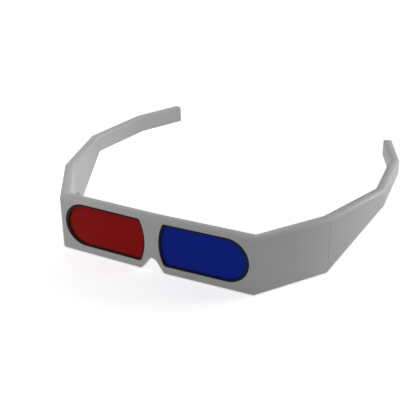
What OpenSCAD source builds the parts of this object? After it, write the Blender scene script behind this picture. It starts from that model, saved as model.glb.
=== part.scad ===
// Red and blue stereo glasses: a hollow front with wings, two colour filters and two folding temples.
// The wearer looks along -Y, so the wearer's left is +X. The base edge of the front stands on z = 0.

/* [Front] */
// Width over the front corners
front_w = 124; // [118:1:132]
// Height of the front and of its wings
front_h = 33.8; // [32:0.2:38]
// Thickness of the front
front_t = 6.7; // [6.2:0.1:8]
// How far the bridge stands ahead of the front corners
bow = 1.5; // [0.5:0.1:3]

/* [Wings] */
// Thickness of the wings and the temples
side_t = 5.6; // [5.2:0.1:7]
// Length of a wing from the front corner to the hinge, on the outside
wing_len = 48.6; // [42:0.2:56]
// Angle by which a wing spreads from straight back
wing_splay = 33; // [26:0.5:38]

/* [Temples] */
// Length of the tapering run behind the hinge
taper_len = 52.9; // [46:0.1:60]
// Angle by which the tapering run spreads from straight back
taper_splay = 16.6; // [10:0.2:22]
// Length of the run over the ear
ear_len = 50.6; // [44:0.1:56]
// Angle by which the run over the ear turns in
ear_toe = 6.5; // [2:0.5:10]
// Length of the last run
tip_len = 35.4; // [30:0.1:42]
// Angle by which the last run turns in
tip_toe = 23.8; // [16:0.2:28]
// Height of the temple behind its taper
tip_h = 11.2; // [10:0.1:14]
// Corner radius of the temple's end, seen from the side
tip_r = 0.8; // [0.5:0.1:4]

/* [Windows] */
// Width of the bridge between the two windows
bridge_w = 8.8; // [8.4:0.1:11]
// Border above a window
brow_h = 2.35; // [2.3:0.05:3]
// Border below a window
sill_h = 4.95; // [4.6:0.05:6]
// Border between a window and the front corner
end_border = 2.9; // [2.6:0.1:5]
// Bulge of a window's nose side
nose_bulge = 3.1; // [1.5:0.1:4]
// Corner radius of a window's nose side
nose_corner_r = 2.4; // [1.6:0.1:4]

/* [Filters and gaskets] */
// Thickness of a colour filter
filter_t = 1.2; // [0.8:0.1:1.5]
// How far a filter reaches behind the window's edge
seat_w = 0.9; // [0.6:0.05:1]
// Thickness of the window's front lip
lip_t = 0.9; // [0.8:0.1:1.5]
// Width of the gasket's visible rim above and below the filter
rim_w = 0.6; // [0.5:0.05:1.2]
// Width of the gasket's visible rim at the filter's outer end
rim_end_w = 1.8; // [1:0.1:2.5]
// Width of the gasket's visible rim on the nose side
rim_nose_w = 0.45; // [0.4:0.05:1.2]
// How deep the gasket's rim lies below the front face
rim_sink = 0.2; // [0.1:0.05:0.4]
// Thickness of the gasket's flange behind the lip
flange_t = 0.4; // [0.3:0.1:0.8]

/* [Nose notch] */
// Width of the notch at the base edge
notch_w = 15.9; // [14:0.1:16.5]
// Height of the notch
notch_h = 8.6; // [7:0.1:9]
// Radius at the top of the notch
notch_r = 3.8; // [2:0.1:4.5]

/* [Shells and covers] */
// Thickness of the outer walls
wall_t = 1.2; // [1:0.1:1.6]
// Width of the rim that frames a cover
rim_t = 1.2; // [1:0.1:1.4]
// Width of the ledge that a cover lies on
ledge_w = 1; // [0.8:0.1:1.6]
// Thickness of the covers
cover_t = 1.4; // [1.3:0.1:1.8]
// Edge radius of the outer faces
outer_r = 1.6; // [0.4:0.1:1.8]
// Edge radius of the inner faces
inner_r = 0.9; // [0.2:0.1:1]
// Solid length on each side of a hinge
hinge_block = 8; // [7.4:0.2:10]
// Radius of the pegs that hold a temple's cover
peg_r = 0.9; // [0.7:0.05:1.1]

/* [Hinges] */
// Radius of the hinge knuckles
knuckle_r = 2.3; // [2:0.1:2.8]
// Height of one knuckle
knuckle_h = 4.2; // [3.6:0.1:5]
// Length of the web that carries a knuckle
knuckle_web = 5.5; // [4:0.1:6.5]
// Diameter of the hinge pin
pin_d = 1.8; // [1.4:0.1:2]
// Diameter of the pin's head
pin_head_d = 2.8; // [2.4:0.1:3]
// Height of the pin's head
pin_head_h = 0.8; // [0.5:0.1:1.2]

/* [Screws] */
// Diameter of the cover screws
screw_d = 1.6; // [1.2:0.1:1.8]
// Length of a screw's shank
screw_len = 2.9; // [2.4:0.1:3]
// Diameter of a screw's head
head_d = 3; // [2.6:0.1:3.4]
// Height of a screw's head
head_h = 0.7; // [0.5:0.1:0.8]

/* [Clearances] */
// Gap round a cover, a gasket and a filter
fit_gap = 0.1; // [0.05:0.01:0.15]
// Gap between wing and temple at the hinge seam
seam_gap = 0.16; // [0.1:0.02:0.3]
// Gap between knuckles, along the pin
knuckle_gap = 0.2; // [0.1:0.05:0.3]
// Gap round a knuckle in the other part's pocket
pocket_gap = 0.3; // [0.2:0.05:0.5]
// Gap round the pin where the temple turns on it
run_gap = 0.05; // [0.02:0.01:0.08]
// Gap round pins, pegs and screws that sit tight
tight_gap = 0.02; // [0.01:0.01:0.04]

/* [Hidden] */
$fn = 64;

shell_colour = [0.72, 0.72, 0.72];
red_colour = [0.6, 0.05, 0.05];
blue_colour = [0.06, 0.12, 0.55];
gasket_colour = [0.05, 0.05, 0.05];
steel_colour = [0.62, 0.63, 0.65];

// How far cutters and extrusions run past the faces that they cut
over = 2;
// Longer than the whole part, for cutters that run right through it, and heights well off it
far = 200;
no_base = -far / 2;
no_top = far / 2;
// Angle at which a rounded edge runs into the faces beside it
round_lap = 10;

// The wall runs from the bridge round to the tip in five straight runs, seen from above:
// front half, wing, taper, ear run and tip. Each has a length, a heading and a thickness.
FRONT = 0;
WING = FRONT + 1;
TAPER = WING + 1;
EAR = TAPER + 1;
TIP = EAR + 1;
END = TIP + 1;
bow_angle = atan2(bow, front_w / 2);
run_len = [norm([front_w / 2, bow]), wing_len, taper_len, ear_len, tip_len];
heading = [bow_angle, 90 - wing_splay, 90 - taper_splay, 90 + ear_toe, 90 + tip_toe];
thickness = [front_t, side_t, side_t, side_t, side_t];

// Where each run starts on the flat pattern: the front and the temple each have their own.
flat_start = [0, run_len[FRONT], 0, taper_len, taper_len + ear_len];
temple_len = taper_len + ear_len + tip_len;

function along(a) = [cos(a), sin(a)];
function across(a) = [-sin(a), cos(a)];

// The outer corner where run k starts
function corner(k) = k == FRONT ? [0, -bow] : corner(k - 1) + run_len[k - 1] * along(heading[k - 1]);

// From the outer corner to the inner corner, where the inner faces of runs j and k cross
function mitre(j, k) =
    let (n = across(heading[j]), m = across(heading[k]), turn = n[0] * m[1] - n[1] * m[0])
    [thickness[j] * m[1] - thickness[k] * n[1], thickness[k] * n[0] - thickness[j] * m[0]] / turn;
function lean(k) =
    k == FRONT ? [0, front_t / cos(bow_angle)]
    : k == END ? side_t * across(heading[TIP])
    : mitre(k - 1, k);

// The same direction, running on past the inner face, and the way out past the outer face
function beyond(k) = lean(k) * (1 + over / norm(lean(k)));
function outside(k) = lean(k) * (-over / norm(lean(k)));

// The middle of the whole part's depth is the origin.
tip_corner = corner(END);
mid_y = (max(tip_corner[1], tip_corner[1] + lean(END)[1]) - bow) / 2;

// The base edge of the temple climbs along the taper.
tip_base = front_h - tip_h;
slope = atan2(tip_base, taper_len);

module on_table() {
    translate([0, -mid_y, 0])
        children();
}

module both_sides() {
    children();
    mirror([1, 0, 0])
        children();
}

// Local axes of a run: X along its outer face, Y into the wall, Z up
module in_run(k) {
    translate(corner(k))
        rotate([0, 0, heading[k]])
            children();
}

// A flat drawing of length against height, made into a plate between two depths of the wall
module plate(k, from, to) {
    in_run(k)
        translate([-flat_start[k], to, 0])
            rotate([90, 0, 0])
                linear_extrude(to - from)
                    children();
}

// All the space from a depth of run k inwards. Where runs bend, such spaces cross in the bend's edge.
module behind(k, depth) {
    in_run(k)
        translate([-far, depth, -far])
            cube(2 * far);
}

// The space outside a rounded edge: the faces x = 0 and y = 0 meet there, the solid is at +X and -Y.
// Neighbouring runs have slightly different radii, so that no four faces meet in one point.
edge_step = 0.06;
module edge_outline(k, full_r) {
    r = full_r - edge_step * (k % 2);
    inset = r * cos(round_lap);
    difference() {
        translate([-over, -inset])
            square(over + inset);
        translate([inset, -inset])
            circle(r);
    }
}

// A long bar along run k, drawn as depth against height
module bar(k, climb = 0) {
    in_run(k)
        rotate([0, -climb, 0])
            translate([-far, 0, 0])
                rotate([90, 0, 90])
                    linear_extrude(2 * far)
                        children();
}

// All the space behind the outer face of run k between two heights, with the outer edges rounded
module outer_space(k, low, high, climb = 0) {
    bar(k, climb)
        difference() {
            translate([0, low])
                square([far, high - low]);
            translate([0, high])
                edge_outline(k, outer_r);
            translate([0, low])
                mirror([0, 1])
                    edge_outline(k, outer_r);
        }
}

// All the space on the wearer's side of run k, flared so that it leaves the inner edges rounded
module inner_space(k, low) {
    bar(k)
        translate([thickness[k], 0])
            mirror([1, 0]) {
                translate([-far, -far])
                    square([far, 2 * far]);
                translate([0, front_h])
                    edge_outline(k, inner_r);
                translate([0, low])
                    mirror([0, 1])
                        edge_outline(k, inner_r);
            }
}

module upright() {
    translate([0, 0, -over])
        linear_extrude(front_h + 2 * over)
            children();
}

// Half of the front and one wing, without any opening
wing_end = corner(TAPER) - seam_gap / 2 * along(heading[WING]);
module half_front_wall() {
    last = wing_end + beyond(TAPER);
    difference() {
        intersection() {
            outer_space(FRONT, 0, front_h);
            outer_space(WING, 0, front_h);
            upright()
                polygon([
                    [0, -bow - over], corner(WING) + outside(WING), wing_end + outside(TAPER),
                    last, [0, last[1]],
                ]);
        }
        intersection() {
            inner_space(FRONT, 0);
            inner_space(WING, 0);
        }
    }
}

// A temple, without any opening: level along its top, climbing along the base of its taper
temple_start = corner(TAPER) + seam_gap / 2 * along(heading[TAPER]);
module temple_wall() {
    difference() {
        intersection() {
            outer_space(TAPER, no_base, front_h);
            outer_space(EAR, no_base, front_h);
            outer_space(TIP, no_base, front_h);
            union() {
                outer_space(TAPER, 0, no_top, slope);
                intersection() {
                    outer_space(EAR, tip_base, no_top);
                    outer_space(TIP, tip_base, no_top);
                }
            }
            upright()
                polygon([
                    temple_start + outside(TAPER), corner(EAR) + outside(EAR),
                    corner(TIP) + outside(TIP), tip_corner + outside(END),
                    tip_corner + beyond(END), temple_start + beyond(TAPER),
                ]);
        }
        intersection() {
            union() {
                inner_space(TAPER, no_base);
                bar(TAPER, slope)
                    translate([side_t, 0])
                        rotate(180)
                            edge_outline(TAPER, inner_r);
            }
            inner_space(EAR, tip_base);
            inner_space(TIP, tip_base);
        }
        plate(TIP, -over, side_t + over) {
            translate([temple_len, front_h])
                mirror([1, 0])
                    edge_outline(TIP, tip_r);
            translate([temple_len, tip_base])
                rotate(180)
                    edge_outline(TIP, tip_r);
        }
    }
}

// Flat drawings of the front

window_h = front_h - brow_h - sill_h;
window_z = sill_h + window_h / 2;
window_end = run_len[FRONT] - end_border;
nose_arc_r = (pow(window_h / 2, 2) + pow(nose_bulge, 2)) / (2 * nose_bulge);
nose_arc_s = bridge_w / 2 + nose_arc_r;

// A window: straight above and below, round at its outer end, bulging towards the nose.
// The three insets move its edges inwards, or outwards where they are negative.
module window(level, end, nose) {
    end_r = window_h / 2 - level;
    end_s = window_end - end - end_r;
    arc_r = nose_arc_r - nose;
    corner_r = nose_corner_r - level;
    corner_z = end_r - corner_r;
    corner_s = nose_arc_s - sqrt(pow(arc_r - corner_r, 2) - pow(corner_z, 2));
    ray = 2 * [corner_s - nose_arc_s, corner_z];
    translate([0, window_z]) {
        translate([end_s, 0])
            circle(end_r);
        translate([corner_s, -end_r])
            square([end_s - corner_s, 2 * end_r]);
        for (side = [-1, 1])
            translate([corner_s, side * corner_z])
                circle(corner_r);
        translate([nose_arc_s, 0])
            intersection() {
                circle(arc_r);
                polygon([[0, 0], ray, [ray[0], -ray[1]]]);
            }
    }
}

module even_window(inset) {
    window(inset, inset, inset);
}

module clear_window() {
    window(rim_w, rim_end_w, rim_nose_w);
}

// The nose notch: two straight flanks that run into a round top. It can be drawn wider all round.
notch_top_z = notch_h - notch_r;
flank_angle = acos(notch_r / norm([notch_w / 2, notch_top_z])) - atan2(notch_top_z, notch_w / 2);
module notch(wider) {
    r = notch_r + wider;
    reach = sin(flank_angle) * notch_top_z + r;
    base = (reach + sin(flank_angle) * over) / cos(flank_angle);
    touch = [r * cos(flank_angle), notch_top_z + r * sin(flank_angle)];
    translate([0, notch_top_z])
        circle(r);
    polygon([[base, -over], touch, [-touch[0], touch[1]], [-base, -over]]);
}

module notch_prism(wider) {
    translate([0, far / 2, 0])
        rotate([90, 0, 0])
            linear_extrude(far)
                notch(wider);
}

// The space for the cover of the front and one wing, from a distance below the inner faces.
// It ends at the hinge block and leaves the notch's rim. Its outline can be set in.
wing_cover_end = wing_len - hinge_block;
module front_inside(below, inset) {
    edge = rim_t + inset;
    difference() {
        intersection() {
            behind(FRONT, front_t - below);
            in_run(WING)
                translate([wing_cover_end - inset - far, side_t - below, edge])
                    cube([far, far, front_h - 2 * edge]);
            translate([0, -far / 2, -over])
                cube(far);
        }
        notch_prism(edge);
    }
}

// The hollow of a wing, with a rib and a boss at each screw
wing_hollow_start = 8;
screw_inset = 4.5;
wing_screws = [wing_hollow_start + screw_inset, wing_cover_end - ledge_w - screw_inset];
screw_z = front_h / 2;
bridge_screw_share = 0.62;
bridge_screw_z = bridge_screw_share * front_h;
boss_r = 2.2;
rib_t = 1;
module wing_hollow() {
    first = run_len[FRONT] + wing_hollow_start;
    last = run_len[FRONT] + wing_cover_end - ledge_w;
    low = rim_t + ledge_w;
    difference() {
        translate([first, low])
            square([last - first, front_h - 2 * low]);
        for (s = wing_screws) {
            translate([run_len[FRONT] + s, screw_z])
                circle(boss_r);
            translate([run_len[FRONT] + s - rib_t / 2, 0])
                square([rib_t, front_h]);
        }
    }
}

// The inner side of a temple

tip_wall_t = 2.2;

// The space for a temple's cover, from the hinge block to near the tip and from a distance below the
// inner faces. Its outline can be set in.
module temple_inside(below, inset) {
    edge = rim_t + inset;
    first = hinge_block + inset;
    climb = edge / cos(slope);
    level_from = (tip_base + edge - climb) / tan(slope);
    intersection() {
        plate(TAPER, -over, far)
            polygon([
                [first, front_h - edge], [far, front_h - edge], [far, tip_base + edge],
                [level_from, tip_base + edge], [first, first * tan(slope) + climb],
            ]);
        behind(TAPER, side_t - below);
        behind(EAR, side_t - below);
        in_run(TIP)
            translate([tip_len - tip_wall_t - inset - far, side_t - below, 0])
                cube(far);
    }
}

// Each peg's run, place along it and height
tip_mid_z = front_h - tip_h / 2;
peg_boss_t = 1.1;
taper_peg_shares = [0.28, 0.7];
function taper_mid_z(s) = (front_h + s * tan(slope)) / 2;
pegs = [
    for (share = taper_peg_shares) [TAPER, share * taper_len, taper_mid_z(share * taper_len)],
    [EAR, ear_len / 2, tip_mid_z],
    [TIP, tip_len / 2, tip_mid_z],
];
module at_pegs() {
    for (peg = pegs)
        in_run(peg[0])
            translate([peg[1], 0, peg[2]])
                rotate([-90, 0, 0])
                    children();
}

// The hollow of a temple, with a rib and a boss at each peg
module temple_hollow() {
    difference() {
        temple_inside(side_t - wall_t, ledge_w);
        at_pegs() {
            cylinder(h = side_t + over, r = peg_r + peg_boss_t);
            translate([-rib_t / 2, -front_h, 0])
                cube([rib_t, 2 * front_h, side_t + over]);
        }
    }
}

// A tongue on the end of the cover slips under the rim at the tip.
tongue_w = 3;
tongue_t = 0.6;
tongue_len = 0.8;
tongue_rise = 0.2;
module tongue(gap) {
    last = temple_len - tip_wall_t;
    floor = side_t - cover_t + tongue_rise;
    plate(TIP, floor - gap, floor + tongue_t + gap)
        translate([last - over, tip_mid_z - tongue_w / 2 - gap])
            square([over + tongue_len - fit_gap + gap, tongue_w + 2 * gap]);
}

// Screws: the places have Z pointing out of the inner face

head_sink = 0.1;
module at_screws() {
    both_sides()
        for (s = wing_screws)
            in_run(WING)
                translate([s, side_t, screw_z])
                    rotate([-90, 0, 0])
                        children();
    translate([0, lean(FRONT)[1] - bow, bridge_screw_z])
        rotate([-90, 0, 0])
            children();
}

module screw_shape(gap, shank_gap, top) {
    seat = -head_sink - head_h;
    translate([0, 0, seat])
        cylinder(h = head_h + top, r = head_d / 2 + gap);
    translate([0, 0, seat - screw_len - gap])
        cylinder(h = screw_len + gap + tight_gap, r = screw_d / 2 + shank_gap);
}

// Hinge: the knuckles turn about the inner corner where wing and temple meet

pin_sink = 0.3;
pin_roof = 1.4;
// Knuckles from the base up: the wing's lower one, the temple's, and the wing's upper one
LOWER = 0;
MIDDLE = LOWER + 1;
UPPER = MIDDLE + 1;
function knuckle_z(i) = i * (knuckle_h + knuckle_gap);
pin_top = knuckle_z(UPPER) + knuckle_h - pin_roof;

module at_hinge() {
    translate(corner(TAPER) + lean(TAPER))
        children();
}

// A knuckle and the web that carries it, which lies along X on the side of +Y
web_sink = 0.6;
module knuckle_outline() {
    foot = [knuckle_web, -web_sink];
    touch = atan2(foot[1], foot[0]) + acos(knuckle_r / norm(foot));
    circle(knuckle_r);
    polygon([[0, -web_sink], foot, knuckle_r * along(touch)]);
}

module wing_knuckles() {
    at_hinge()
        rotate([0, 0, heading[WING]])
            mirror([1, 0, 0])
                for (i = [LOWER, UPPER])
                    translate([0, 0, knuckle_z(i)])
                        linear_extrude(knuckle_h)
                            knuckle_outline();
}

module temple_knuckle() {
    at_hinge()
        rotate([0, 0, heading[TAPER]])
            translate([0, 0, knuckle_z(MIDDLE)])
                linear_extrude(knuckle_h)
                    knuckle_outline();
}

// A pocket ends a little nearer to its knuckle than the next knuckle does.
pocket_end_share = 0.6;
pocket_end_gap = pocket_end_share * knuckle_gap;
module pocket(i) {
    at_hinge()
        translate([0, 0, knuckle_z(i) - pocket_end_gap])
            cylinder(h = knuckle_h + 2 * pocket_end_gap, r = knuckle_r + pocket_gap);
}

module pin_shape(gap, head_gap, below) {
    at_hinge() {
        translate([0, 0, pin_sink - below])
            cylinder(h = pin_top - pin_sink + below + gap, r = pin_d / 2 + gap);
        translate([0, 0, pin_sink - below])
            cylinder(h = pin_head_h + below, r = pin_head_d / 2 + head_gap);
    }
}

// Sub-parts

module half_front_shell() {
    difference() {
        union() {
            difference() {
                half_front_wall();
                front_inside(cover_t, 0);
                plate(WING, wall_t, side_t - cover_t / 2)
                    wing_hollow();
                plate(FRONT, -over, front_t)
                    even_window(0);
                plate(FRONT, lip_t, front_t)
                    even_window(-seat_w);
                notch_prism(0);
                pocket(MIDDLE);
            }
            wing_knuckles();
        }
        pin_shape(tight_gap, fit_gap, over);
    }
}

module front_shell() {
    color(shell_colour)
        on_table()
            difference() {
                both_sides()
                    half_front_shell();
                at_screws()
                    screw_shape(fit_gap, tight_gap, 0);
            }
}

// The cover has a collar round each window that holds the filter down.
// The collar is a little looser in the seat than the filter.
collar_gap = 0.15;
module half_front_cover() {
    difference() {
        union() {
            difference() {
                front_inside(cover_t, fit_gap);
                intersection() {
                    behind(FRONT, front_t);
                    behind(WING, side_t);
                }
            }
            plate(FRONT, lip_t + flange_t + filter_t, front_t - cover_t / 2)
                even_window(collar_gap - seat_w);
        }
        plate(FRONT, 0, front_t + over)
            clear_window();
    }
}

module front_cover() {
    color(shell_colour)
        on_table()
            difference() {
                both_sides()
                    half_front_cover();
                at_screws()
                    screw_shape(fit_gap, fit_gap, over);
            }
}

module cover_screws() {
    color(steel_colour)
        on_table()
            at_screws()
                screw_shape(0, 0, 0);
}

module filter() {
    plate(FRONT, lip_t + flange_t, lip_t + flange_t + filter_t)
        even_window(fit_gap - seat_w);
}

module gasket() {
    difference() {
        union() {
            plate(FRONT, rim_sink, lip_t + flange_t / 2)
                even_window(fit_gap / 2);
            plate(FRONT, lip_t, lip_t + flange_t)
                even_window(fit_gap - seat_w);
        }
        plate(FRONT, 0, front_t)
            clear_window();
    }
}

module red_filter() {
    color(red_colour)
        on_table()
            mirror([1, 0, 0])
                filter();
}

module blue_filter() {
    color(blue_colour)
        on_table()
            filter();
}

module red_gasket() {
    color(gasket_colour)
        on_table()
            mirror([1, 0, 0])
                gasket();
}

module blue_gasket() {
    color(gasket_colour)
        on_table()
            gasket();
}

module temple_shell() {
    difference() {
        union() {
            difference() {
                temple_wall();
                temple_inside(cover_t, 0);
                temple_hollow();
                tongue(fit_gap);
                pocket(LOWER);
                pocket(UPPER);
            }
            temple_knuckle();
        }
        pin_shape(run_gap, fit_gap, over);
        at_pegs()
            translate([0, 0, wall_t])
                cylinder(h = side_t, r = peg_r + tight_gap);
    }
}

module temple_cover() {
    difference() {
        temple_inside(cover_t, fit_gap);
        intersection() {
            behind(TAPER, side_t);
            behind(EAR, side_t);
            behind(TIP, side_t);
        }
    }
    tongue(0);
    at_pegs()
        translate([0, 0, wall_t + fit_gap])
            cylinder(h = side_t - cover_t / 2 - wall_t, r = peg_r);
}

module left_temple_shell() {
    color(shell_colour)
        on_table()
            temple_shell();
}

module left_temple_cover() {
    color(shell_colour)
        on_table()
            temple_cover();
}

module left_hinge_pin() {
    color(steel_colour)
        on_table()
            pin_shape(0, 0, 0);
}

module right_temple_shell() {
    color(shell_colour)
        on_table()
            mirror([1, 0, 0])
                temple_shell();
}

module right_temple_cover() {
    color(shell_colour)
        on_table()
            mirror([1, 0, 0])
                temple_cover();
}

module right_hinge_pin() {
    color(steel_colour)
        on_table()
            mirror([1, 0, 0])
                pin_shape(0, 0, 0);
}

front_shell();
front_cover();
cover_screws();
red_filter();
blue_filter();
red_gasket();
blue_gasket();
left_temple_shell();
left_temple_cover();
left_hinge_pin();
right_temple_shell();
right_temple_cover();
right_hinge_pin();
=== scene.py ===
"""Dresses a pair of two-colour 3D glasses: frame, filters, seals, screws and hinge pins."""
import math
from contextlib import contextmanager
from functools import cached_property

import bpy
import numpy as np
from bpy.props import FloatProperty, FloatVectorProperty, IntProperty, PointerProperty
from bpy.types import Operator, Panel, PropertyGroup
from mathutils import Matrix, Vector


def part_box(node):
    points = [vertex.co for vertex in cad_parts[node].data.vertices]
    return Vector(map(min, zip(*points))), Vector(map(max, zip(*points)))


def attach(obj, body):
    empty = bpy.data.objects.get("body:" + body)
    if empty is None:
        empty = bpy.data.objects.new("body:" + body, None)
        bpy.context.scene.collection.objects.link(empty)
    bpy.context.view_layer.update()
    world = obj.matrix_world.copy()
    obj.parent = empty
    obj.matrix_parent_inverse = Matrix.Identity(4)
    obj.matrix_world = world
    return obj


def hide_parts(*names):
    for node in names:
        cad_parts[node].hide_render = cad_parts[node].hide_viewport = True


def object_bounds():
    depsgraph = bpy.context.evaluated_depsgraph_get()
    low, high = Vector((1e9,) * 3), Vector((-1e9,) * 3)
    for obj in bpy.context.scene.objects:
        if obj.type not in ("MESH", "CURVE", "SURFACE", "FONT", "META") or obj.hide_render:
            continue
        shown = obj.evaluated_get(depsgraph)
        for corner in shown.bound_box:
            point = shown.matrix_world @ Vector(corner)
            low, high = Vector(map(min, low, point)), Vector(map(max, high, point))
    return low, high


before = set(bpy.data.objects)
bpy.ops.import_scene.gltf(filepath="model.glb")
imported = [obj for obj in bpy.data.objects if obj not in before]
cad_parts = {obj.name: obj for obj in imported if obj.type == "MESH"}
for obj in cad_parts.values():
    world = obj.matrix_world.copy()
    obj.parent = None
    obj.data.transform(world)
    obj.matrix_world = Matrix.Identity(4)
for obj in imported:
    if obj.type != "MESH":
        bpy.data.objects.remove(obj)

bl_info = {
    "name": "3D glasses",
    "version": (1, 0, 0),
    "blender": (4, 5, 0),
    "location": "3D View > Sidebar > Glasses",
    "description": "Finishes and fasteners of a pair of folding two-colour 3D glasses",
    "category": "Object",
}

CAD_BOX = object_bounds()
SHELLS = (
    "front_shell", "front_cover",
    "left_temple_shell", "left_temple_cover",
    "right_temple_shell", "right_temple_cover",
)
PINS = ("left_hinge_pin", "right_hinge_pin")
COLOURS = ("red", "blue")

# How much each bend of the wall, from the bridge to the tip, takes of the next run's heading
BEND_SHARES = (0.5, 0.25, 0.65, 0.6)
# How far light flows over each run's top, 1 for halfway to the side at its outer edge
TOP_LEANS = (0.6, 1.0, 1.4, 0.8, 0.4)
# How far each run's top leans inwards at its inner edge, beside 1 outwards at its outer edge
INNER_LEANS = (0.2, 1.0, 1.0, 1.0, 1.0)

# Tint of each filter's gloss
SHEENS = {"red": (1.0, 0.1, 0.1), "blue": (0.1, 0.15, 1.0)}

# Where each far lamp stands, as degrees round from the wearer's left and degrees up
FAR_LAMPS = {"key": (45, 15), "back": (90, 10), "top": (300, 60)}
FAR_LAMP_SPREAD = math.radians(35)
# Where each soft box stands, beside the wearer's right
SOFT_BOXES = {"rear_box": (-0.25, 0.1, 0.2), "front_box": (-0.22, -0.12, 0.08)}
BOX_AIM = (-0.07, -0.06, 0.02)
BOX_SIZE = 0.15
FLOOR_SIZE = 8.0
FLOOR_GAP = 0.0002
WHITE = (1.0, 1.0, 1.0, 1.0)
SENSOR_WIDTH = 36.0

# How near a height, a radius and a direction have to be to count as the same
SAME_HEIGHT = 1e-6
SAME_RADIUS = 1e-5
SAME_WAY = 0.99
# Points nearer than this are merged
MERGE_DISTANCE = 1e-6
# Faces that meet at less than this are shaded smooth
SMOOTH_ANGLE = math.radians(32)
# Steps of a rounding, on a head and on a small edge
HEAD_STEPS = 5
EDGE_STEPS = 3

# A seal's faces by their normals: walls look less ahead than this, inner walls look inwards
# by more than this, and front faces look ahead by more than this
WALL_LIMIT = 0.5
INNER_LIMIT = 0.02
FRONT_LIMIT = 0.9

# A screw: rounding and recess as shares of the head's height, the recess's floor as a share of
# its mouth, and the shank's ridges and point as swells from one step to the next
SCREW_ROUNDING = 0.55
RECESS_DEPTH = 0.8
RECESS_FLOOR = 0.5
RIDGE = 1.16
SHANK_SWELLS = 3 * (1 / RIDGE, RIDGE) + (0.45,)
# How far each next screw is turned
SCREW_TURN = 0.7
# How far below its highest point a screw's flat top is still looked for
SCREW_TOP = 1e-5

# A hinge pin: rounding and dish as shares of the head's height, the dish's border as a share of
# the head's radius, and the far end's bevel as a share of the pin's radius
PIN_ROUNDING = 0.5
DISH_DEPTH = 0.25
DISH_BORDER = 0.3
PIN_BEVEL = 0.3


# Shader maths

def both_ways(operation):
    """A Math operation with a wire as its first value, and one with it as its second."""
    def plain(self, other):
        return self.math(operation, self, other)

    def reflected(self, other):
        return self.math(operation, other, self)

    return plain, reflected


class Wire:
    """One output of a shader node, so that sums on it read as plain expressions."""

    def __init__(self, finish, socket):
        self.finish = finish
        self.socket = socket

    def math(self, operation, *values):
        """A Math node on some values, or on this wire alone."""
        sockets = dict(enumerate(values or (self,)))
        return self.finish.node("ShaderNodeMath", {"operation": operation}, sockets)

    __add__, __radd__ = both_ways("ADD")
    __sub__, __rsub__ = both_ways("SUBTRACT")
    __mul__, __rmul__ = both_ways("MULTIPLY")
    __truediv__, __rtruediv__ = both_ways("DIVIDE")

    def __abs__(self):
        return self.math("ABSOLUTE")


class Finish:
    """The nodes of a material or a world in the making."""

    # A Mix node's sockets for colours
    SHARE, FIRST, SECOND, MIXED = 0, 6, 7, 2

    def __init__(self, owner):
        owner.use_nodes = True
        self.owner = owner
        self.tree = owner.node_tree
        self.tree.nodes.clear()

    def node(self, kind, settings=None, sockets=None, out=0):
        """Adds a node of a kind, with its settings and its sockets' values or wires."""
        node = self.tree.nodes.new(kind)
        for name, value in (settings or {}).items():
            setattr(node, name, value)
        for name, value in (sockets or {}).items():
            if isinstance(value, Wire):
                self.tree.links.new(value.socket, node.inputs[name])
            else:
                node.inputs[name].default_value = value
        return Wire(self, node.outputs[out]) if node.outputs else None

    @cached_property
    def place(self):
        """The place on the piece, in its own coordinates."""
        return self.node("ShaderNodeTexCoord", out="Object")

    def stretched(self, scale):
        """The place on the piece, stretched along its axes."""
        return self.node("ShaderNodeMapping", None, {"Vector": self.place, "Scale": scale})

    def split(self, vector):
        """The three parts of a vector."""
        parts = self.node("ShaderNodeSeparateXYZ", None, {0: vector}).socket.node.outputs
        return [Wire(self, part) for part in parts]

    def noise(self, scale, detail=2.0, place=None):
        """A soft noise from 0 to 1."""
        sockets = {"Vector": place or self.place, "Scale": scale, "Detail": detail}
        return self.node("ShaderNodeTexNoise", None, sockets, "Fac")

    def band(self, value, low, high):
        """0 below a low value, 1 above a high one, and even between."""
        sockets = {"Value": value, "From Min": low, "From Max": high}
        return self.node("ShaderNodeMapRange", None, sockets, "Result")

    def mottle(self, share, colour, dark, light):
        """A colour that varies between a darker and a lighter tone."""
        tones = [
            (*(min(1.0, channel * factor) for channel in colour), 1.0)
            for factor in (dark, light)
        ]
        sockets = {self.SHARE: share, self.FIRST: tones[0], self.SECOND: tones[1]}
        return self.node("ShaderNodeMix", {"data_type": "RGBA"}, sockets, self.MIXED)

    def bump(self, height, depth, strength, normal=None):
        """A normal with a relief on it."""
        sockets = {"Height": height, "Distance": depth, "Strength": strength}
        if normal:
            sockets["Normal"] = normal
        return self.node("ShaderNodeBump", None, sockets, "Normal")

    def show(self, shader):
        """Puts a shader on the surface and gives the finished material."""
        self.node("ShaderNodeOutputMaterial", None, {"Surface": shader})
        return self.owner

    def principled(self, sockets):
        """Ends the material with the Principled shader."""
        return self.show(self.node("ShaderNodeBsdfPrincipled", None, sockets))


# Flow of light along the wall

def ahead(heading):
    """The way along a run of the wall, seen from above."""
    return Vector((math.cos(heading), math.sin(heading)))


def inwards(heading):
    """The way across a run of the wall to its inner side, seen from above."""
    return Vector((-math.sin(heading), math.cos(heading)))


def runs(plan):
    """The wall's five straight runs from the bridge to the tip: heading, length and depth."""
    half = plan.front_width / 2
    back = math.pi / 2
    front = (math.atan2(plan.bow, half), math.hypot(half, plan.bow), plan.front_depth)
    sides = (
        (back - plan.wing_splay, plan.wing_length),
        (back - plan.taper_splay, plan.taper_length),
        (back + plan.ear_toe, plan.ear_length),
        (back + plan.tip_toe, plan.tip_length),
    )
    return [front] + [(heading, length, plan.side_depth) for heading, length in sides]


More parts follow.
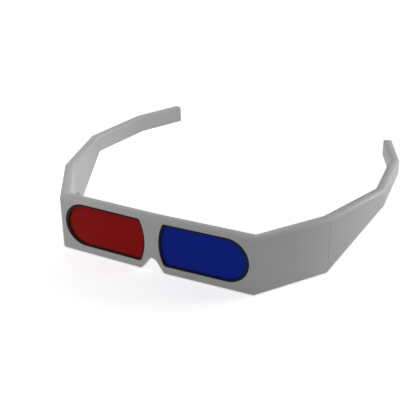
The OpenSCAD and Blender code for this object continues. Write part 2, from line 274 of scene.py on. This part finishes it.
def run_ends(plan):
    """Both ends of each run: an outer point, the way on through it, and the light's heading.

    The light's heading at a bend lies between those of the runs beside it.
    """
    wall = runs(plan)
    point = Vector((0.0, CAD_BOX[0].y))
    ends = [(point, ahead(0.0), 0.0)]
    for this, after, share in zip(wall, wall[1:], BEND_SHARES):
        heading, length, depth = this
        next_heading, _, next_depth = after
        point = point + length * ahead(heading)
        side, next_side = inwards(heading), inwards(next_heading)
        mitre = Vector((
            depth * next_side.y - next_depth * side.y,
            next_depth * side.x - depth * next_side.x,
        ))
        on = Vector((mitre.y, -mitre.x)).normalized()
        ends.append((point, on, heading + (next_heading - heading) * share))
    heading, length, _ = wall[-1]
    return ends + [(point + length * ahead(heading), ahead(heading), heading)]


def near_top(finish, plan):
    """0 on most of the frame, rising to 1 at its top edge."""
    height = finish.split(finish.place)[2]
    return finish.band(height, low=CAD_BOX[1].z - plan.soft_edge, high=CAD_BOX[1].z)


def flowing_normal(finish, plan):
    """The frame's own normal, turned so that light flows round the bends and over the top."""
    x, y, _ = finish.split(finish.place)
    own = finish.node("ShaderNodeTexCoord", out="Normal")
    up = finish.split(own)[2]
    reach, side = abs(x), x.math("SIGN")
    wall, ends = runs(plan), run_ends(plan)
    past = [on.x * reach + on.y * y - on.dot(point) for point, on, _ in ends]
    begun = [1.0] + [gone.math("GREATER_THAN", gone, 0.0) for gone in past[1:-1]] + [0.0]

    def here(values):
        """The value of the run that the place lies on."""
        return sum(value * (begun[run] - begun[run + 1]) for run, value in enumerate(values))

    turns, leans = [], []
    for run, (heading, _, depth) in enumerate(wall):
        point, _, first = ends[run]
        last = ends[run + 1][2]
        share = past[run] / (past[run] - past[run + 1])
        turns.append((first - heading) + (last - first) * share)
        across = inwards(heading) * (1.0 + INNER_LEANS[run]) / depth
        leans.append(across.x * reach + across.y * y - across.dot(point))
    heading = here([run[0] for run in wall])
    level = (1.0 - up * up).math("SQRT")
    tilt = (here(leans) - 1.0) * up.math("MAXIMUM", up, 0.0) * here(TOP_LEANS)
    lean = finish.node("ShaderNodeCombineXYZ", None, {
        "X": tilt * heading.math("SINE") * (side * -1.0),
        "Y": tilt * heading.math("COSINE"),
        "Z": near_top(finish, plan) * level * plan.edge_lean,
    })
    leant = finish.node("ShaderNodeVectorMath", {"operation": "ADD"}, {0: own, 1: lean})
    even = finish.node("ShaderNodeVectorMath", {"operation": "NORMALIZE"}, {0: leant})
    turned = finish.node("ShaderNodeVectorRotate", {"rotation_type": "Z_AXIS"},
                         {"Vector": even, "Angle": here(turns) * side})
    kinds = {"vector_type": "NORMAL", "convert_from": "OBJECT", "convert_to": "WORLD"}
    return finish.node("ShaderNodeVectorTransform", kinds, {"Vector": turned})


# Finishes

def moulded_plastic(colour, grain, plan):
    """Grey plastic from a spark-eroded mould, a little handled."""
    finish = Finish(bpy.data.materials.new("moulded_plastic"))
    dull, speckle, wear, edge_wear = 0.44, 0.14, 0.05, 0.06
    spark = finish.noise(scale=1.0 / grain, detail=3.0)
    tone = finish.band(finish.noise(scale=38.0, detail=4.0), low=0.3, high=0.7)
    rubbed = finish.band(finish.noise(scale=95.0, detail=5.0), low=0.52, high=0.72)
    normal = flowing_normal(finish, plan)
    return finish.principled({
        "Base Color": finish.mottle(tone, colour, dark=0.97, light=1.03),
        "Roughness": dull + spark * speckle - rubbed * (wear + near_top(finish, plan) * edge_wear),
        "Normal": finish.bump(spark, depth=grain * 0.3, strength=0.6, normal=normal),
    })


def tinted_filter(name, colour, sheen):
    """Dyed acrylic sheet, flat and glossy, with the faint haze of handling."""
    finish = Finish(bpy.data.materials.new(name))
    gloss, clouding = 0.12, 0.1
    tone = finish.noise(scale=30.0)
    ripple = finish.noise(scale=70.0, detail=1.0)
    haze = finish.band(finish.noise(scale=160.0, detail=5.0), low=0.45, high=0.8)
    return finish.principled({
        "Base Color": finish.mottle(tone, colour, dark=0.94, light=1.06),
        "Roughness": gloss + haze * clouding,
        "Normal": finish.bump(ripple, depth=0.00005, strength=0.3),
        "Transmission Weight": 0.12,
        "Specular IOR Level": 0.1,
        "Specular Tint": (*sheen, 1.0),
        "IOR": 1.49,
    })


def black_rubber(colour):
    """Moulded rubber with a dull bloom."""
    finish = Finish(bpy.data.materials.new("black_rubber"))
    dull, chalky = 0.52, 0.16
    pores = finish.noise(scale=4200.0, detail=3.0)
    bloom = finish.band(finish.noise(scale=240.0, detail=4.0), low=0.4, high=0.75)
    return finish.principled({
        "Base Color": finish.mottle(bloom, colour, dark=1.0, light=1.7),
        "Roughness": dull + bloom * chalky,
        "Normal": finish.bump(pores, depth=0.00003, strength=0.5),
        "Specular IOR Level": 0.15,
    })


def brushed_steel(colour):
    """Drawn steel wire with fine lines along it, made once for screws and pins."""
    name = "brushed_steel"
    if name in bpy.data.materials:
        return bpy.data.materials[name]
    finish = Finish(bpy.data.materials.new(name))
    bright, drawn = 0.24, 0.16
    lines = finish.noise(scale=900.0, detail=4.0, place=finish.stretched((6.0, 6.0, 0.5)))
    stain = finish.noise(scale=500.0, detail=3.0)
    return finish.principled({
        "Base Color": finish.mottle(stain, colour, dark=0.9, light=1.08),
        "Metallic": 1.0,
        "Roughness": bright + lines * drawn,
        "Normal": finish.bump(lines, depth=0.00001, strength=0.4),
    })


def seen_directly(finish):
    """1 for rays that come from the camera, also by a mirror or through glass."""
    camera, glossy, through = (
        finish.node("ShaderNodeLightPath", out=f"Is {ray} Ray")
        for ray in ("Camera", "Glossy", "Transmission")
    )
    return camera.math("MAXIMUM", camera.math("MAXIMUM", camera, glossy), through)


def pale_floor(colour, glow):
    """A matt white floor that shows as white and keeps the shadow."""
    finish = Finish(bpy.data.materials.new("pale_floor"))
    paint = finish.node("ShaderNodeBsdfDiffuse", None, {"Color": (*colour, 1.0)})
    light = finish.node("ShaderNodeEmission", None, {"Strength": seen_directly(finish) * glow})
    return finish.show(finish.node("ShaderNodeAddShader", None, {0: paint, 1: light}))


def studio(fill):
    """Even white light, seen at full strength."""
    finish = Finish(bpy.data.worlds.new("studio"))
    strength = fill + seen_directly(finish) * (1.0 - fill)
    light = finish.node("ShaderNodeBackground", None, {"Color": WHITE, "Strength": strength})
    finish.node("ShaderNodeOutputWorld", None, {"Surface": light})
    return finish.owner


# Modelling

def deselect():
    """Leaves object mode with nothing selected."""
    if bpy.context.object and bpy.context.object.mode != "OBJECT":
        bpy.ops.object.mode_set(mode="OBJECT")
    bpy.ops.object.select_all(action="DESELECT")


def select(piece):
    """Selects one piece alone."""
    deselect()
    piece.select_set(True)
    bpy.context.view_layer.objects.active = piece


@contextmanager
def shaping(piece, kind, test):
    """Edit mode on a piece, with those of its faces or edges selected that pass a test."""
    select(piece)
    bpy.ops.object.mode_set(mode="EDIT")
    bpy.ops.mesh.select_mode(type=kind)
    bpy.ops.mesh.select_all(action="DESELECT")
    bpy.ops.object.mode_set(mode="OBJECT")
    mesh = piece.data
    count = 0
    for item in mesh.polygons if kind == "FACE" else mesh.edges:
        item.select = test(mesh, item)
        count += item.select
    if not count:
        raise RuntimeError(f"nothing to shape on {piece.name}")
    bpy.ops.object.mode_set(mode="EDIT")
    yield
    bpy.ops.object.mode_set(mode="OBJECT")


def facing(direction, height):
    """A test for faces that look in a direction at a height along Z."""
    def test(mesh, face):
        level = abs(face.center.z - height) < SAME_HEIGHT
        return level and face.normal.dot(Vector(direction)) > SAME_WAY
    return test


def rim(radius, height):
    """A test for edges of a circle about Z."""
    def test(mesh, edge):
        points = [mesh.vertices[i].co for i in edge.vertices]
        return all(
            abs(point.z - height) < SAME_HEIGHT and abs(point.xy.length - radius) < SAME_RADIUS
            for point in points
        )
    return test


def round_over(radius, steps):
    """Rounds the selected edges."""
    bpy.ops.mesh.bevel(offset=radius, segments=steps, profile=0.5)


def pull(way):
    """Extrudes the selected faces along Z."""
    bpy.ops.mesh.extrude_region_move(TRANSFORM_OT_translate={"value": (0, 0, way)})


def disc(name, radius, low, high, sides):
    """A round start for a fastener, standing about Z."""
    deselect()
    bpy.ops.mesh.primitive_cylinder_add(
        vertices=sides, radius=radius, depth=high - low, location=(0, 0, (low + high) / 2))
    bpy.ops.object.transform_apply(location=True)
    bpy.context.object.name = name
    return bpy.context.object


def settle(piece):
    """Merges doubles, turns the faces outwards and smooths the round ones."""
    select(piece)
    bpy.ops.object.mode_set(mode="EDIT")
    bpy.ops.mesh.select_all(action="SELECT")
    bpy.ops.mesh.remove_doubles(threshold=MERGE_DISTANCE)
    bpy.ops.mesh.normals_make_consistent(inside=False)
    bpy.ops.object.mode_set(mode="OBJECT")
    bpy.ops.object.transform_apply(location=True, rotation=True, scale=True)
    bpy.ops.object.shade_smooth_by_angle(angle=SMOOTH_ANGLE)


def put(model, name, matrix, material, body, node):
    """Puts a copy of a model, with a mesh of its own, on a body to stand for a node."""
    piece = model.copy()
    piece.data = model.data.copy()
    piece.name = name
    bpy.context.scene.collection.objects.link(piece)
    piece.data.transform(matrix)
    piece.data.materials.clear()
    piece.data.materials.append(material)
    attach(piece, body)
    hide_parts(node)


def dress(node, material):
    """Gives a node's object its finish."""
    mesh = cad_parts[node].data
    mesh.materials.clear()
    mesh.materials.append(material)


def along_axis(point, axis):
    """The matrix that puts a model, modelled along Z, at a point along an axis."""
    turn = Vector((0, 0, 1)).rotation_difference(Vector(axis)).to_matrix().to_4x4()
    return Matrix.Translation(point) @ turn


# Settings

class GlassesFinish(PropertyGroup):
    """Colours and surfaces."""

    frame_colour: FloatVectorProperty(
        name="Frame", description="Colour of the moulded frame",
        default=(0.45, 0.45, 0.45), subtype="COLOR", min=0, max=1)
    red_colour: FloatVectorProperty(
        name="Red filter", description="Colour of the filter over the wearer's right eye",
        default=(0.343, 0.003, 0.003), subtype="COLOR", min=0, max=1)
    blue_colour: FloatVectorProperty(
        name="Blue filter", description="Colour of the filter over the wearer's left eye",
        default=(0.0052, 0.0215, 0.333), subtype="COLOR", min=0, max=1)
    rubber_colour: FloatVectorProperty(
        name="Seals", description="Colour of the seals round the filters",
        default=(0.004, 0.004, 0.004), subtype="COLOR", min=0, max=1)
    steel_colour: FloatVectorProperty(
        name="Steel", description="Colour of the screws and hinge pins",
        default=(0.6, 0.6, 0.62), subtype="COLOR", min=0, max=1)
    grain: FloatProperty(
        name="Grain", description="Width of the grain of the moulded frame",
        default=0.0004, unit="LENGTH")


class GlassesPlan(PropertyGroup):
    """The wall's runs, seen from above."""

    front_width: FloatProperty(
        name="Front width", description="Width over the front corners",
        default=0.124, unit="LENGTH")
    front_depth: FloatProperty(
        name="Front depth", description="Thickness of the front",
        default=0.0067, unit="LENGTH")
    side_depth: FloatProperty(
        name="Side depth", description="Thickness of the wings and temples",
        default=0.0056, unit="LENGTH")
    bow: FloatProperty(
        name="Bow", description="How far the bridge stands ahead of the front corners",
        default=0.0015, unit="LENGTH")
    wing_length: FloatProperty(
        name="Wing length", description="Length of a wing",
        default=0.0486, unit="LENGTH")
    wing_splay: FloatProperty(
        name="Wing splay", description="Angle of the wings out from straight back",
        default=math.radians(33), subtype="ANGLE")
    taper_length: FloatProperty(
        name="Taper length", description="Length of the tapering run",
        default=0.0529, unit="LENGTH")
    taper_splay: FloatProperty(
        name="Taper splay", description="Angle of the tapering run out from straight back",
        default=math.radians(16.6), subtype="ANGLE")
    ear_length: FloatProperty(
        name="Ear length", description="Length of the run over the ear",
        default=0.0506, unit="LENGTH")
    ear_toe: FloatProperty(
        name="Ear toe", description="Angle by which the run over the ear turns in",
        default=math.radians(6.5), subtype="ANGLE")
    tip_length: FloatProperty(
        name="Tip length", description="Length of the last run",
        default=0.0354, unit="LENGTH")
    tip_toe: FloatProperty(
        name="Tip toe", description="Angle by which the last run turns in",
        default=math.radians(23.8), subtype="ANGLE")
    soft_edge: FloatProperty(
        name="Soft edge", description="Height below the top edge over which light flows round it",
        default=0.0025, unit="LENGTH")
    edge_lean: FloatProperty(
        name="Edge lean", description="How far light flows up the sides, 1 for halfway to the top",
        default=0.6, subtype="FACTOR", min=0, max=1)


class GlassesSeals(PropertyGroup):
    """Sizes of the seals' lips."""

    top_lip: FloatProperty(
        name="Top lip", description="How much wider a seal's lip is above its filter",
        default=0.0008, unit="LENGTH")
    nose_lip: FloatProperty(
        name="Nose lip", description="How much wider a seal's lip is towards the nose",
        default=0.0006, unit="LENGTH")
    lip_round: FloatProperty(
        name="Lip rounding", description="Radius of a seal's inner edge",
        default=0.00015, unit="LENGTH")


class GlassesFasteners(PropertyGroup):
    """Sizes of the screws and hinge pins."""

    head_diameter: FloatProperty(
        name="Screw head", description="Diameter of a screw's head",
        default=0.003, unit="LENGTH")
    head_height: FloatProperty(
        name="Screw head height", description="Height of a screw's head",
        default=0.0007, unit="LENGTH")
    shank_diameter: FloatProperty(
        name="Screw shank", description="Diameter of a screw's shank",
        default=0.0016, unit="LENGTH")
    shank_length: FloatProperty(
        name="Screw length", description="Length of a screw's shank",
        default=0.0029, unit="LENGTH")
    recess_width: FloatProperty(
        name="Recess", description="Width across a screw's cross recess",
        default=0.0017, unit="LENGTH")
    recess_slot: FloatProperty(
        name="Recess slot", description="Width of one slot of the cross recess",
        default=0.00042, unit="LENGTH")
    pin_diameter: FloatProperty(
        name="Hinge pin", description="Diameter of a hinge pin",
        default=0.0018, unit="LENGTH")
    pin_head_height: FloatProperty(
        name="Pin head height", description="Height of a hinge pin's head",
        default=0.0008, unit="LENGTH")
    sides: IntProperty(
        name="Sides", description="Sides of a round piece",
        default=48, min=12, max=96)


class GlassesStage(PropertyGroup):
    """Floor, light and camera."""

    floor_colour: FloatVectorProperty(
        name="Floor", description="Colour of the floor",
        default=(0.9, 0.9, 0.9), subtype="COLOR", min=0, max=1)
    floor_glow: FloatProperty(
        name="Floor glow", description="What the floor adds to look white", default=0.52)
    fill: FloatProperty(
        name="Fill", description="Even light from all round", default=0.32)
    key: FloatProperty(
        name="Key", description="Strength of the lamp behind on the wearer's left", default=1.61)
    back: FloatProperty(
        name="Back", description="Strength of the lamp straight behind", default=0.17)
    top: FloatProperty(
        name="Top", description="Strength of the lamp high in front", default=0.42)
    rear_box: FloatProperty(
        name="Rear soft box", description="Power of the soft box behind on the wearer's right",
        default=0.052, unit="POWER")
    front_box: FloatProperty(
        name="Front soft box", description="Power of the soft box in front on the wearer's right",
        default=0.096, unit="POWER")
    camera_place: FloatVectorProperty(
        name="Camera", description="Where the camera stands",
        default=(0.21633, -0.42907, 0.22976), subtype="XYZ", unit="LENGTH")
    camera_yaw: FloatProperty(
        name="Camera yaw", description="Turn of the camera to the left",
        default=math.radians(27.73), subtype="ANGLE")
    camera_pitch: FloatProperty(
        name="Camera pitch", description="How far the camera looks down",
        default=math.radians(25.45), subtype="ANGLE")
    camera_roll: FloatProperty(
        name="Camera roll", description="Roll of the camera",
        default=math.radians(-0.5), subtype="ANGLE")
    lens: FloatProperty(
        name="Lens", description="Focal length in millimetres on a 36 mm sensor",
        default=70.41, unit="CAMERA")


# Pieces

class GLASSES_OT_frame(Operator):
    """Gives the front and the temples their moulded grey plastic."""

    bl_idname = "glasses.frame"
    bl_label = "Moulded frame"

    def execute(self, context):
        finish = context.scene.glasses_finish
        plastic = moulded_plastic(
            finish.frame_colour[:], finish.grain, context.scene.glasses_plan)
        for node in SHELLS:
            dress(node, plastic)
        return {"FINISHED"}


class GLASSES_OT_filters(Operator):
    """Gives the two filters their dyed acrylic."""

    bl_idname = "glasses.filters"
    bl_label = "Filters"

    def execute(self, context):
        finish = context.scene.glasses_finish
        for name in COLOURS:
            colour = getattr(finish, f"{name}_colour")[:]
            dress(f"{name}_filter", tinted_filter(f"{name}_acrylic", colour, SHEENS[name]))
        return {"FINISHED"}


class GLASSES_OT_seals(Operator):
    """Models a rubber seal for each filter, its rounded lip wider above and at the nose."""

    bl_idname = "glasses.seals"
    bl_label = "Seals"

    def model(self, node, sizes):
        """A copy of a node's seal, merged, with its inner wall drawn in and rounded in front."""
        seal = bpy.data.objects.new("seal_model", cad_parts[node].data.copy())
        bpy.context.scene.collection.objects.link(seal)
        low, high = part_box(node)
        middle = (low + high) / 2
        settle(seal)

        def inner(face):
            towards = Vector((middle.x - face.center.x, 0, middle.z - face.center.z)).normalized()
            return abs(face.normal.y) < WALL_LIMIT and face.normal.dot(towards) > INNER_LIMIT

        wall = {i for face in seal.data.polygons if inner(face) for i in face.vertices}
        points = [seal.data.vertices[i].co for i in wall]
        across = sorted((point.x for point in points), key=abs)
        nose, end = across[0], across[-1]
        bottom, top = min(point.z for point in points), max(point.z for point in points)
        narrower = 1 - sizes.nose_lip / abs(end - nose)
        lower = 1 - sizes.top_lip / (top - bottom)
        with shaping(seal, "FACE", lambda mesh, face: inner(face)):
            bpy.ops.transform.resize(
                value=(narrower, 1, lower), center_override=(end, 0, bottom))
        lip = {
            edge for face in seal.data.polygons if face.normal.y < -FRONT_LIMIT
            for edge in face.edge_keys if set(edge) <= wall
        }
        with shaping(seal, "EDGE", lambda mesh, edge: edge.key in lip):
            round_over(sizes.lip_round, EDGE_STEPS)
        settle(seal)
        return seal

    def execute(self, context):
        rubber = black_rubber(context.scene.glasses_finish.rubber_colour[:])
        for name in COLOURS:
            node = f"{name}_gasket"
            seal = self.model(node, context.scene.glasses_seals)
            put(seal, f"{name}_seal", Matrix(), rubber, "front", node)
            bpy.data.objects.remove(seal)
        return {"FINISHED"}


class GLASSES_OT_screws(Operator):
    """Models a cross-recess screw and puts one at each screw of the cover."""

    bl_idname = "glasses.screws"
    bl_label = "Cover screws"

    def model(self, sizes):
        """A screw along Z, with the top of its head at the origin."""
        head_radius = sizes.head_diameter / 2
        height = sizes.head_height
        screw = disc("screw_model", head_radius, -height, 0, sizes.sides)
        with shaping(screw, "EDGE", rim(head_radius, 0)):
            round_over(height * SCREW_ROUNDING, HEAD_STEPS)
        with shaping(screw, "FACE", facing((0, 0, -1), -height)):
            bpy.ops.mesh.inset(thickness=head_radius - sizes.shank_diameter / 2)
            for swell in SHANK_SWELLS:
                pull(-sizes.shank_length / len(SHANK_SWELLS))
                bpy.ops.transform.resize(value=(swell, swell, 1))
        for turn in (0, math.pi / 2):
            self.cut_slot(screw, sizes, turn)
        settle(screw)
        return screw

    def cut_slot(self, screw, sizes, turn):
        """Cuts one slot of the cross recess, narrower at its floor."""
        deselect()
        depth = sizes.head_height * RECESS_DEPTH
        bpy.ops.mesh.primitive_cube_add(size=1, location=(0, 0, 0), rotation=(0, 0, turn))
        cutter = bpy.context.object
        cutter.scale = (sizes.recess_width, sizes.recess_slot, 2 * depth)
        bpy.ops.object.transform_apply(location=True, rotation=True, scale=True)
        with shaping(cutter, "FACE", facing((0, 0, -1), -depth)):
            bpy.ops.transform.resize(value=(RECESS_FLOOR, RECESS_FLOOR, 1))
        cut = screw.modifiers.new("recess", "BOOLEAN")
        cut.operation = "DIFFERENCE"
        cut.solver = "EXACT"
        cut.object = cutter
        select(screw)
        bpy.ops.object.modifier_apply(modifier=cut.name)
        bpy.data.objects.remove(cutter)

    def places(self, sizes, splay):
        """The middle of each screw's head and the way it looks, from the cover's own screws."""
        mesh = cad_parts["cover_screws"].data
        points = np.array([vertex.co[:] for vertex in mesh.vertices])
        bridge = np.abs(points[:, 0]) < sizes.head_diameter
        groups = [(points[bridge], Vector((0, 1, 0)))]
        for side in (1, -1):
            back = Vector((side * math.sin(splay), math.cos(splay), 0))
            inward = Vector((-side * back.y, side * back.x, 0))
            wing = points[(points[:, 0] * side > 0) & ~bridge]
            reach = wing @ np.array(back)
            middle = (reach.min() + reach.max()) / 2
            groups.append((wing[reach < middle], inward))
            groups.append((wing[reach > middle], inward))
        found = []
        for cloud, axis in groups:
            if not len(cloud):
                raise RuntimeError("a cover screw is missing")
            height = cloud @ np.array(axis)
            top = cloud[height > height.max() - SCREW_TOP]
            found.append((Vector((top.min(0) + top.max(0)) / 2), axis))
        return found

    def execute(self, context):
        sizes = context.scene.glasses_fasteners
        steel = brushed_steel(context.scene.glasses_finish.steel_colour[:])
        screw = self.model(sizes)
        seats = self.places(sizes, context.scene.glasses_plan.wing_splay)
        for number, (point, axis) in enumerate(seats, 1):
            matrix = along_axis(point, axis) @ Matrix.Rotation(number * SCREW_TURN, 4, "Z")
            put(screw, f"cover_screw_{number}", matrix, steel, "front", "cover_screws")
        bpy.data.objects.remove(screw)
        return {"FINISHED"}


class GLASSES_OT_pins(Operator):
    """Models a headed hinge pin and puts one in each hinge."""

    bl_idname = "glasses.pins"
    bl_label = "Hinge pins"

    def model(self, sizes, low, high):
        """A pin along Z, with the underside of its dished head at the origin."""
        length = high.z - low.z
        head_radius = (high.x - low.x) / 2
        radius = sizes.pin_diameter / 2
        height = sizes.pin_head_height
        pin = disc("pin_model", head_radius, 0, height, sizes.sides)
        with shaping(pin, "EDGE", rim(head_radius, 0)):
            round_over(height * PIN_ROUNDING, HEAD_STEPS)
        with shaping(pin, "FACE", facing((0, 0, -1), 0)):
            bpy.ops.mesh.inset(thickness=head_radius * DISH_BORDER)
            bpy.ops.transform.translate(value=(0, 0, height * DISH_DEPTH))
        with shaping(pin, "FACE", facing((0, 0, 1), height)):
            bpy.ops.mesh.inset(thickness=head_radius - radius)
            pull(length - height)
        with shaping(pin, "EDGE", rim(radius, length)):
            round_over(radius * PIN_BEVEL, EDGE_STEPS)
        settle(pin)
        return pin

    def execute(self, context):
        steel = brushed_steel(context.scene.glasses_finish.steel_colour[:])
        pin = self.model(context.scene.glasses_fasteners, *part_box(PINS[0]))
        for node in PINS:
            low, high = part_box(node)
            foot = Vector(((low.x + high.x) / 2, (low.y + high.y) / 2, low.z))
            name = node.replace("hinge", "headed")
            put(pin, name, Matrix.Translation(foot), steel, "front", node)
        bpy.data.objects.remove(pin)
        return {"FINISHED"}


# Stage

class GLASSES_OT_stage(Operator):
    """Lays the floor, lights the glasses and sets the camera."""

    bl_idname = "glasses.stage"
    bl_label = "Stage"

    def floor(self, stage):
        """Lays a wide floor just below the glasses."""
        deselect()
        bpy.ops.mesh.primitive_plane_add(size=FLOOR_SIZE, location=(0, 0, -FLOOR_GAP))
        floor = bpy.context.object
        floor.name = "floor"
        floor.data.materials.append(pale_floor(stage.floor_colour[:], stage.floor_glow))

    def lamp(self, kind, name, place, aim, strength):
        """Adds one lamp that looks at a point."""
        deselect()
        bpy.ops.object.light_add(type=kind, location=place)
        lamp = bpy.context.object
        lamp.name = f"{name}_lamp"
        lamp.rotation_euler = (place - aim).to_track_quat("Z", "Y").to_euler()
        lamp.data.energy = strength
        return lamp

    def lamps(self, stage):
        """Adds the far lamps and the soft boxes."""
        for name, degrees in FAR_LAMPS.items():
            around, up = (math.radians(angle) for angle in degrees)
            turn = Matrix.Rotation(around, 3, "Z")
            place = turn @ Vector((math.cos(up), 0, math.sin(up)))
            lamp = self.lamp("SUN", name, place, Vector(), getattr(stage, name))
            lamp.data.angle = FAR_LAMP_SPREAD
        for name, place in SOFT_BOXES.items():
            lamp = self.lamp("AREA", name, Vector(place), Vector(BOX_AIM), getattr(stage, name))
            lamp.data.size = BOX_SIZE
            lamp.visible_camera = False

    def camera(self, stage):
        """Sets the camera at the photograph's view."""
        deselect()
        bpy.ops.object.camera_add(location=stage.camera_place)
        camera = bpy.context.object
        camera.name = "photo_camera"
        camera.data.lens = stage.lens
        camera.data.sensor_width = SENSOR_WIDTH
        turn = Matrix.Rotation(stage.camera_yaw, 3, "Z")
        tilt = Matrix.Rotation(math.pi / 2 - stage.camera_pitch, 3, "X")
        roll = Matrix.Rotation(stage.camera_roll, 3, "Z")
        camera.rotation_euler = (turn @ tilt @ roll).to_euler()
        bpy.context.scene.camera = camera

    def execute(self, context):
        stage = context.scene.glasses_stage
        context.scene.view_settings.view_transform = "Standard"
        context.scene.world = studio(stage.fill)
        self.floor(stage)
        self.lamps(stage)
        self.camera(stage)
        return {"FINISHED"}


class GLASSES_PT_panel(Panel):
    """The glasses' steps and settings."""

    bl_label = "3D glasses"
    bl_idname = "GLASSES_PT_panel"
    bl_space_type = "VIEW_3D"
    bl_region_type = "UI"
    bl_category = "Glasses"

    def draw(self, context):
        layout = self.layout
        for step in STEPS:
            layout.operator(step.bl_idname)
        for name, kind in GROUPS.items():
            box = layout.box()
            box.label(text=kind.__doc__)
            for setting in kind.__annotations__:
                box.prop(getattr(context.scene, name), setting)


GROUPS = {
    "glasses_plan": GlassesPlan,
    "glasses_finish": GlassesFinish,
    "glasses_seals": GlassesSeals,
    "glasses_fasteners": GlassesFasteners,
    "glasses_stage": GlassesStage,
}
STEPS = (
    GLASSES_OT_stage,
    GLASSES_OT_frame,
    GLASSES_OT_filters,
    GLASSES_OT_seals,
    GLASSES_OT_screws,
    GLASSES_OT_pins,
)


def register():
    for name, group in GROUPS.items():
        bpy.utils.register_class(group)
        setattr(bpy.types.Scene, name, PointerProperty(type=group))
    for step in STEPS:
        bpy.utils.register_class(step)
    bpy.utils.register_class(GLASSES_PT_panel)


def unregister():
    bpy.utils.unregister_class(GLASSES_PT_panel)
    for step in reversed(STEPS):
        bpy.utils.unregister_class(step)
    for name, group in reversed(GROUPS.items()):
        delattr(bpy.types.Scene, name)
        bpy.utils.unregister_class(group)


def main():
    register()
    for step in STEPS:
        area, name = step.bl_idname.split(".")
        getattr(getattr(bpy.ops, area), name)()
    deselect()


if __name__ == "__main__":
    main()
